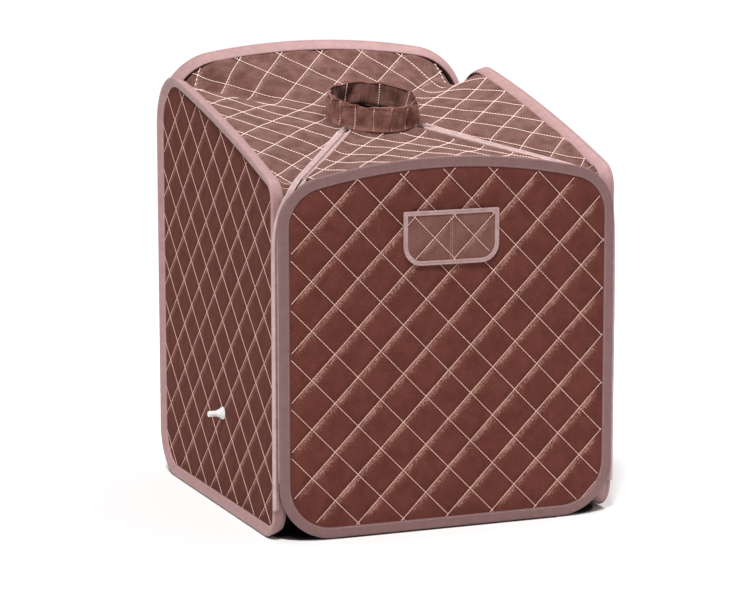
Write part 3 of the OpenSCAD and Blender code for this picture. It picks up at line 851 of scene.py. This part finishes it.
def gathered_collar(name, node, body, start, end, peaks, lap):
    """One part of the neck collar: a padded band with pulled-in seams, short folds and a rolled rim."""
    turns = np.linspace(math.radians(start), math.radians(end), int(abs(end - start) / 0.7))
    rings, rims = [], []
    up_steps = np.linspace(0.0, 1.0, 16)

    def lapped(turn, height):
        radius, drawn = collar_radius(turn, height)
        return radius + lap * smoothstep((abs(turn + QUARTER) - math.radians(FRONT_TURN - 9)) / 0.12), drawn

    for turn in turns:
        rim = collar_top(turn, peaks)
        ring = []
        for side in (1, -1):
            for u in (up_steps if side > 0 else up_steps[::-1]):
                height = 0.001 + (rim - 0.004) * u
                radius, drawn = lapped(turn, height)
                half = (0.0034 - 0.0012 * drawn) * (1.0 if side > 0 else 0.8) * (1 - 0.45 * u ** 6)
                ring.append((radius + side * half, height))
            if side > 0:
                radius, _ = lapped(turn, rim)
                for a in np.linspace(0.5, math.pi - 0.5, 6):
                    ring.append((radius + 0.0024 * math.cos(a), rim - 0.004 + 0.004 * math.sin(a)))
        ring = np.array(ring)
        rings.append(np.column_stack([ring[:, 0] * math.cos(turn), ring[:, 0] * math.sin(turn), ring[:, 1]]))
        rims.append((radius, rim))
    parts = tube(collar_frame(np.array(rings)), closed=False, flip=True)
    band = build(name, parts, [COLLAR_QUILT], body, (node,))
    rims = np.array(rims)
    crest = np.column_stack([rims[:, 0] * np.cos(turns), rims[:, 0] * np.sin(turns), rims[:, 1] - 0.0003])
    circle = np.linspace(0, 2 * math.pi, 8, endpoint=False)
    cord = [(-0.0009 * math.cos(a), 0.0009 * math.sin(a)) for a in circle]
    edge = band_rings(crest, np.broadcast_to((0.0, 0.0, 1.0), crest.shape), cord)
    build(name + "_rim", tube(collar_frame(edge), closed=False), [COLLAR_QUILT], body)
    found = []
    first, last = turns[0] + math.radians(2), turns[-1] - math.radians(2)
    for k in range(-2, 18):
        turn = FIRST_GATHER + k * GATHERS
        if not first < turn < last:
            continue
        rim = collar_top(turn, peaks)
        for side in (1, -1) if k % 2 else (1,):
            heights = np.linspace(0.002, rim - 0.002, 24)
            wobble = turn + 0.010 * np.sin(heights * 60 + k)
            radius = np.array([lapped(turn, h)[0] for h in heights]) + side * 0.0026
            path = np.column_stack([radius * np.cos(wobble), radius * np.sin(wobble), heights])
            away = side * np.column_stack([np.cos(wobble), np.sin(wobble), np.zeros(len(wobble))])
            path, tips = collar_frame(path), collar_frame(path + away)
            found.append(stitch_run(path, tips - path, 0.0060, 0.0110, 0.0021))
    build(name + "_thread", gather(found), [TOP_THREAD_PAINTED_LIGHT], body)


def band_rings(path, up, profile):
    """A cross-section of (across, up) pairs carried along a path. Across is to the path's left."""
    along = unit(np.gradient(path, axis=0))
    side = unit(np.cross(up, along))
    top = np.cross(along, side)
    shape = np.array(profile)
    return path[:, None] + shape[None, :, :1] * side[:, None] + shape[None, :, 1:] * top[:, None]


gathered_collar("collar_rear_band", "collar_rear", "cabin", -90 + FRONT_TURN + SPLIT, 270 - FRONT_TURN - SPLIT,
                [(math.radians(214), 0.003, 0.10), (math.radians(-34), 0.004, 0.08)], 0.0)
gathered_collar("collar_front_band", "collar_front", "top_flap", -93 - FRONT_TURN - SPLIT,
                -87 + FRONT_TURN + SPLIT, [(math.radians(-46), 0.0045, 0.10)], 0.0065)

# ---------------- zips

GAP = 0.0008  # from the zip's middle to a coil
FLAP_SHARE = 0.87  # share of the zip that the top flap's own edge follows
CORNER_TIP = 0.738  # height at which the cabin's cloth runs out in the front corner
TOOTH_PITCH = 0.0021
side_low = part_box("zip_right_side_body")[0]
SIDE_ZIP_X = side_low[0] + 0.004  # middle of the zip down the front edge


def rounded_path(points, ups, rounds=40):
    """An even path through points, with its corners smoothed, and the up vector along it."""
    points = np.array(points, float)
    run = distances(points)
    at = np.linspace(0, run[-1], int(run[-1] / 0.006))
    path, up = sampled(at, run, points), sampled(at, run, np.array(ups, float))
    for _ in range(rounds):
        for line in (path, up):
            line[1:-1] = (line[:-2] + 2 * line[1:-1] + line[2:]) / 4
    return path, unit(up)


def domed(half, rise, base):
    """Section of a soft band that is crowned over its middle."""
    t = np.linspace(0, 1, 9)
    crown = base + 0.0012 + (rise - 0.0012) * np.sin(math.pi * t) ** 0.5
    return list(zip(half * (2 * t - 1), crown)) + [(half, base), (0, base - 0.0004), (-half, base)]


def folded(far, rise):
    """Section of a zip's tape and the soft fold over its sewn edge. The slider runs over the flat tape."""
    near, fold, t = GAP + 0.0012, 0.0066, np.linspace(0, 1, 9)
    reach = abs(far)
    section = [(near, 0.0006), (fold, 0.0006)]
    section += [(fold + (reach - fold) * u, 0.0006 + (rise - 0.0006) * math.sin(math.pi * u) ** 0.5)
                for u in t[1:-1]]
    section += [(reach, 0.0006), (reach, -0.0030), (fold, -0.0030), (fold, -0.0006), (near, -0.0006)]
    return section if far > 0 else [(-across, height) for across, height in section[::-1]]


def coil(name, path, up, side, body, hand):
    """A row of nylon coil teeth on one side of a zip's middle. hand is 1 for the right zip, -1 for the left."""
    path, up = path * mirror(hand), up * mirror(hand)
    side *= hand
    run = distances(path)
    count = int(run[-1] / TOOTH_PITCH)
    at = (np.arange(count) + (0.25 if side > 0 else 0.75)) * run[-1] / count
    middle, tops = sampled(at, run, path), sampled(at, run, up)
    along = unit(sampled(at, run, np.gradient(path, axis=0)))
    across = unit(np.cross(tops, along) * side)
    # a tooth is a bent loop: a head near the middle, a waist and a heel in the tape
    section = [(0.0002, 0.0007), (0.0009, 0.0008), (0.0019, 0.0006), (0.0030, 0.0005)]
    angles = np.linspace(0, 2 * math.pi, 6, endpoint=False)
    rings = np.stack([np.stack([middle + across * out + along * (half * math.cos(a) * 0.8)
                                + tops * (0.0004 + half * 1.1 * math.sin(a)) for a in angles], axis=1)
                      for out, half in section], axis=1)
    teeth = gather(tube(tooth, closed=False, flip=side > 0) for tooth in rings)
    build(name, teeth, [COIL], body)


def band(name, path, up, profile, body, hand, replaces=()):
    """A swept band of zip tape, on the right or mirrored to the left."""
    parts = tube(band_rings(path, up, profile) * mirror(hand), closed=False, flip=hand < 0)
    return build(name, parts, [ZIP_BAND], body, replaces)


def along_top(share):
    start, end = np.array(ZIP_START), np.array(ZIP_END)
    return start + (end - start) * share


def cabin_zip_path():
    """The right zip's middle line, from the collar over the front corner and down the front edge, and its up."""
    x, y = SIDE_ZIP_X, -0.4055
    points = [along_top(0.0), along_top(0.88), along_top(0.94), (0.369, y, 0.752), (0.384, y, 0.722),
              (x - 0.001, y, 0.690), (x, y, 0.50), (x, y, side_low[2] - 0.060)]
    return rounded_path(points, [(0, 0, 1), (0, 0, 1), (0.25, -0.1, 1), (0.5, -0.6, 0.8), (0.5, -0.9, 0.3),
                                 (0.3, -1, 0), (0.1, -1, 0), (0.1, -1, 0)])


def evenly(points, count):
    """A path's points sampled afresh at even distances."""
    run = distances(points)
    return sampled(np.linspace(0, run[-1], count), run, points)


def corner_cloth(hand):
    """The cabin's quilted cloth where it narrows between the side wall and the zip, to a point on the front."""
    side = "right" if hand > 0 else "left"
    path, up = cabin_zip_path()
    inner = band_rings(path, up, [(0.0110, -0.0006)])[:, 0]
    inner = inner[(inner[:, 1] < -0.350) & (inner[:, 2] > CORNER_TIP)]
    flat, normal = SIDE.points - 0.0128 * SIDE.normals, SIDE.normals
    pick = (flat[:, 0] < -0.350) & (flat[:, 1] > CORNER_TIP)
    outer = np.column_stack([np.full(pick.sum(), HALF_W - 0.0225), flat[pick]])
    tilt = np.column_stack([np.zeros(pick.sum()), normal[pick]])
    rows, columns = 44, 16
    run = distances(outer)
    edge, away = evenly(outer, rows), sampled(np.linspace(0, run[-1], rows), run, tilt)
    middle = evenly(inner, rows)
    middle[:, 0] = np.minimum(middle[:, 0], edge[:, 0] - 0.0006)
    share, v = np.linspace(0, 1, rows)[:, None], np.linspace(0, 1, columns)[None, :]
    grid = edge[:, None] + (middle - edge)[:, None] * v[..., None]
    width = np.linalg.norm(middle - edge, axis=1)[:, None]
    sag = (0.30 * width * (1 - share) - 0.10 * width * share) * 4 * v * (1 - v)
    relief = TOP_QUILTING.rise(grid[..., 0], -0.35 - 0.15 * share + 0 * v, PUFF * 0.8)
    relief = relief * np.sin(math.pi * v) ** 0.5
    grid = grid - away[:, None] * (sag - relief - 0.0008)[..., None]
    parts = whole_pad(grid * mirror(hand), (grid - away[:, None] * 0.0045) * mirror(hand), hand > 0)
    cloth = build("corner_cloth_" + side, parts, [TOP_QUILT_PAINTED_LIGHT, LINING], "cabin")
    found = []
    for row in (2, 20):
        seam = grid[row] + away[row] * 0.0006
        lean = np.broadcast_to(away[row], seam.shape)
        found.append(stitch_run(seam * mirror(hand), lean * mirror(hand), 0.0055, 0.0085, 0.0014))
    build("corner_seam_" + side, gather(found), [TOP_THREAD_PAINTED_LIGHT], "cabin")


def zip_run(hand):
    """One zip: the cabin's band with its coil, the top flap's, and the door flap's."""
    name = "zip_right_" if hand > 0 else "zip_left_"
    x, level = SIDE_ZIP_X, [(0, 0, 1), (0, 0, 1)]
    band(name + "cabin_band", *cabin_zip_path(), folded(0.0160, 0.0056), "cabin", hand,
         (name + "top_body", name + "side_body"))
    coil(name + "cabin_coil", *rounded_path([along_top(0.005), along_top(0.90)], level), 1, "cabin", hand)
    path, up = rounded_path([along_top(0.042), along_top(FLAP_SHARE)], level)
    band(name + "top_flap_band", path, up, folded(-0.0125, 0.0044), "top_flap", hand, (name + "top_flap",))
    coil(name + "top_flap_coil", path, up, -1, "top_flap", hand)
    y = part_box("zip_right_side_flap")[1][1] - 0.0006
    path, up = rounded_path([(0.345, y, 0.768), (0.372, y, 0.742), (x - 0.001, y, 0.690), (x, y, 0.50),
                             (x, y, side_low[2])], [(0, 1, 0.0)] * 5, rounds=12)
    band(name + "door_band", path, up, domed(0.0040, 0.0016, -0.0008), "door_flap", hand, (name + "side_flap",))


def flap_corner(hand):
    """The soft corner between the top flap, the zip and the door flap, on no body."""
    side = "right" if hand > 0 else "left"
    hinge_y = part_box("top_gusset")[0][1]

    def under_arch(x):
        arch_z = 0.689 + math.sqrt(FLAP_CORNER_R ** 2 - max(x - 0.290, 0) ** 2)
        return np.array((x, hinge_y - 0.0030, arch_z - 0.0150))

    path, up = cabin_zip_path()
    part = (path[:, 1] < along_top(FLAP_SHARE - 0.014)[1]) & (path[:, 2] > CORNER_TIP - 0.003)
    path, up = path[part], up[part]
    seam = band_rings(path, up, [(-0.0105, -0.0006)])[:, 0]
    near = sampled(np.linspace(0, len(seam) - 1, 22), np.arange(len(seam)), seam)
    far = [under_arch(x) for x in np.linspace(0.312, 0.379, 22)]
    # rows run from the top flap's own edge to the tip of the corner
    grid = np.array([[n + (f - n) * v for v in np.linspace(-0.06, 1, 14)] for n, f in zip(near, far)])
    rise = TOP_QUILTING.rise(grid[..., 0] * hand, grid[..., 1], PUFF * 0.8)
    grid[..., 2] += rise + 0.0010 - 0.0020 * np.linspace(0, 1, grid.shape[0])[:, None]
    grid = grid * mirror(hand)
    parts = whole_pad(grid, grid + (0, 0.0030, -0.0034), hand < 0)
    cloth = build("flap_corner_" + side, parts, [TOP_QUILT_PAINTED_LIGHT, LINING], None)
    edge = band("zip_" + side + "_corner_band", path, up, folded(-0.0125, 0.0043), None, hand)
    for piece in (cloth, edge):
        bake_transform(piece)


zip_run(1)
zip_run(-1)
flap_corner(1)
flap_corner(-1)
corner_cloth(1)
corner_cloth(-1)


def soften(node, material, width):
    """Rounds a CAD solid's edges and gives it its material."""
    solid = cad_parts[node]
    worn = solid.modifiers.new("worn_edges", "BEVEL")
    worn.width, worn.segments, worn.limit_method = width, 2, "ANGLE"
    for slot in solid.material_slots:
        slot.material = material


for side in ("right", "left"):
    soften("slider_" + side, PLATE, 0.0005)
    soften("pull_" + side, PLATE, 0.0004)

# ---------------- pocket

POCKET_GAP = 0.006
POCKET_T = 0.002
POCKET_WALL = Wall(FLAP_FACE + POCKET_GAP + POCKET_T, "y", -1)
POCKET = Outline(pocket_arcs(), step=0.005)


def make_pocket():
    """The pocket's quilted front with its middle seam, the doubled edging round it and the strip behind."""
    quilting = Quilting((0.0535, 0.655), (0.094, 0.094), 6.0)
    quilted_pad("pocket_quilt", "pocket_panel", POCKET_WALL, POCKET, quilting, "door_flap", 0.0085, puff=0.0030,
                material=POCKET_QUILT, thick=0.0040, seam=0.0)
    low, high = POCKET.points.min(0), POCKET.points.max(0)
    found = []
    for off in (-0.0022, 0.0022):
        heights = np.linspace(low[1] + 0.011, high[1] - 0.011, 30)
        path = POCKET_WALL.at(np.full(30, off), heights, -0.0006)
        found.append(stitch_run(path, np.broadcast_to(POCKET_WALL.outward, path.shape)))
    build("pocket_middle_seam", gather(found), [THREAD], "door_flap")
    groove = [(0.0000, 0.0006), (0.0006, 0.0016), (0.0022, 0.0021), (0.0040, 0.0018), (0.0050, 0.0006),
              (0.0060, 0.0018), (0.0078, 0.0021), (0.0094, 0.0016), (0.0100, 0.0004), (0.0100, -0.0036),
              (0.0000, -0.0036)]
    build("pocket_edge_band", swept(POCKET_WALL, POCKET, groove, not POCKET_WALL.turned), [PIPING], "door_flap",
          ("pocket_edging",))
    build("pocket_edge_stitches", seam_stitches(POCKET_WALL, POCKET, 0.0050, 0.0007), [THREAD], "door_flap")
    # the strip that stands the pocket off the flap, open along the mouth
    mouth = high[1] - 0.006
    below = POCKET.points[:, 1] < mouth
    order = np.roll(np.arange(len(below)), -int(np.argmax(POCKET.points[:, 1] * (POCKET.points[:, 0] < 0))))
    order = order[below[order]]
    flat, normals = POCKET.points[order], POCKET.normals[order]
    depth_steps = np.linspace(-0.0030, -POCKET_GAP - POCKET_T + 0.0004, 5)
    crease = 0.0008 * np.sin(np.arange(len(flat)) * 0.9)
    rings = []
    for inset, outs in ((0.0014, depth_steps), (0.0030, depth_steps[::-1])):
        for k, out in enumerate(outs):
            bulge = inset + crease * math.sin(math.pi * k / 4)
            line = flat - bulge[:, None] * normals
            rings.append(POCKET_WALL.at(line[:, 0], line[:, 1], out))
    strip = tube(np.stack(rings, axis=1), closed=False, flip=POCKET_WALL.turned)
    build("pocket_side_strip", strip, [QUILT], "door_flap")


make_pocket()

# ---------------- steam inlet


def make_inlet():
    """Finishes the moulded inlet: rounded edges, grip ribs round its flange, and a rubber washer inside."""
    soften("inlet_spigot", WHITE, 0.0006)
    soften("inlet_nut", WHITE, 0.0006)
    soften("inlet_washer", RUBBER, 0.0004)
    face = inlet_low[0] + 0.0330
    ribs = []
    for k in range(20):
        turn = 2 * math.pi * k / 20
        out = np.array((0, math.cos(turn), math.sin(turn)))
        side = np.array((0, -math.sin(turn), math.cos(turn)))
        rows = []
        for x, high in ((face - 0.0040, 0.0004), (face - 0.0030, 0.0012), (face - 0.0008, 0.0012),
                        (face, 0.0004)):
            ring = [(-0.0010, -0.0006), (-0.0006, high), (0.0006, high), (0.0010, -0.0006)]
            rows.append([np.array((x, *INLET)) + out * (0.0105 + up) + side * off for off, up in ring])
        ribs.append(tube(np.array(rows), closed=False, flip=True))
    build("inlet_grip_ribs", gather(ribs), [WHITE], "cabin", smooth=False)


make_inlet()

# ---------------- floor cloth


def floor_cloth(name, node, material, corner, wave):
    """A laid cloth with a turned hem, soft creases and rounded corners."""
    (x0, y0, z0), (x1, y1, z1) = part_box(node)
    nx, ny = max(6, int((x1 - x0) / 0.008)), max(4, int((y1 - y0) / 0.008))
    a, b = np.meshgrid(np.linspace(x0, x1, nx), np.linspace(y0, y1, ny), indexing="ij")
    mx, my = (x0 + x1) / 2, (y0 + y1) / 2
    if corner:
        reach_x, reach_y = (x1 - x0) / 2 - corner, (y1 - y0) / 2 - corner
        over_x, over_y = np.maximum(np.abs(a - mx) - reach_x, 0), np.maximum(np.abs(b - my) - reach_y, 0)
        both = np.minimum(over_x, over_y) > 0
        longest, total = np.maximum(over_x, over_y), np.hypot(over_x, over_y)
        scale = np.where(both, longest / np.maximum(total, 1e-9), 1.0)
        a = np.where(both, mx + np.sign(a - mx) * (reach_x + over_x * scale), a)
        b = np.where(both, my + np.sign(b - my) * (reach_y + over_y * scale), b)
    rim = np.minimum(np.minimum(a - x0, x1 - a), np.minimum(b - y0, y1 - b))
    calm = smoothstep(rim / 0.05)
    top = z1 - 0.0008 + wave * calm * (ripple(a * 0.30, b * 0.34, 1.0) + 0.5 * ripple(a * 0.9, b * 0.7, 2.0))
    top = top + 0.0006 * (np.abs(rim - 0.008) < 0.005)
    thick = min(0.0016, (z1 - z0) * 0.6)
    outer = np.stack([a, b, top], axis=-1)
    parts = whole_pad(outer, outer - (0, 0, thick), False)
    cloth = build(name, parts, [material, LINING], "cabin", (node,))


floor_cloth("floor_mat_cloth", "floor_mat", FLOOR_CLOTH, 0.060, 0.0007)
floor_cloth("front_hem_cloth", "front_hem", LINING, 0.0, 0.0)

# ---------------- stage, light and camera


def placed(name, data, at, aim):
    """Puts a light or the camera at a place, looking along minus aim."""
    made = bpy.data.objects.new(name, data)
    made.location = at
    made.rotation_euler = aim.to_track_quat("Z", "Y").to_euler()
    bpy.context.scene.collection.objects.link(made)
    return made


def camera_at(azimuth, elevation, distance, target, focal_px, centre_px):
    """The camera of a 750 by 600 picture, with its principal point where the framing puts it."""
    az, el = math.radians(azimuth), math.radians(elevation)
    back = Vector((math.sin(az) * math.cos(el), -math.cos(az) * math.cos(el), math.sin(el)))
    data = bpy.data.cameras.new("camera")
    data.sensor_width = 36
    data.lens = focal_px / 750 * data.sensor_width
    data.shift_x = (375 - centre_px[0]) / 750
    data.shift_y = (centre_px[1] - 300) / 750
    data.clip_end = 60
    bpy.context.scene.camera = placed("camera", data, Vector(target) + back * distance, back)


SURROUND = 0.32  # strength of the surround's light; it shows white


def studio():
    """A plain pale floor, a pale surround and soft lights."""
    mesh = bpy.data.meshes.new("floor")
    half = 14
    corners = [(-half, -half, 0), (half, -half, 0), (half, half, 0), (-half, half, 0)]
    mesh.from_pydata(corners, [], [(0, 1, 2, 3)])
    made, bsdf, _ = shader("studio_floor")
    feed_all(bsdf, {"Base Color": (0.96, 0.96, 0.96), "Roughness": 0.9})
    mesh.materials.append(made)
    floor = bpy.data.objects.new("floor", mesh)
    bpy.context.scene.collection.objects.link(floor)
    world = bpy.data.worlds.new("surround")
    world.use_nodes = True
    tree = world.node_tree
    seen = tree.nodes.new("ShaderNodeLightPath").outputs["Is Camera Ray"]
    strength = wired(tree, "MapRange", "Result", Value=seen, **{"To Min": SURROUND, "To Max": 1.0})
    feed_all(tree.nodes["Background"], {"Strength": strength, "Color": (1, 1, 1)})
    bpy.context.scene.world = world
    sun = bpy.data.lights.new("key", "SUN")
    sun.energy = 3.0
    sun.angle = math.radians(14)
    placed("key", sun, (0, 0, 0), Vector((-0.42, -0.62, 1.15)))
    lamp = bpy.data.lights.new("overhead", "AREA")
    lamp.shape = "RECTANGLE"
    lamp.size, lamp.size_y = 1.0, 1.0
    lamp.energy = 60
    place = Vector((1.2, 0.2, 3.4))
    placed("overhead", lamp, place, place - Vector((0.1, 0, 0.9)))


studio()
camera_at(-22.145, 9.085, 6.4895, (0.0117, 0, 0.4683), 2775.74, (383.14, 292.33))
bpy.context.scene.view_settings.view_transform = "Standard"
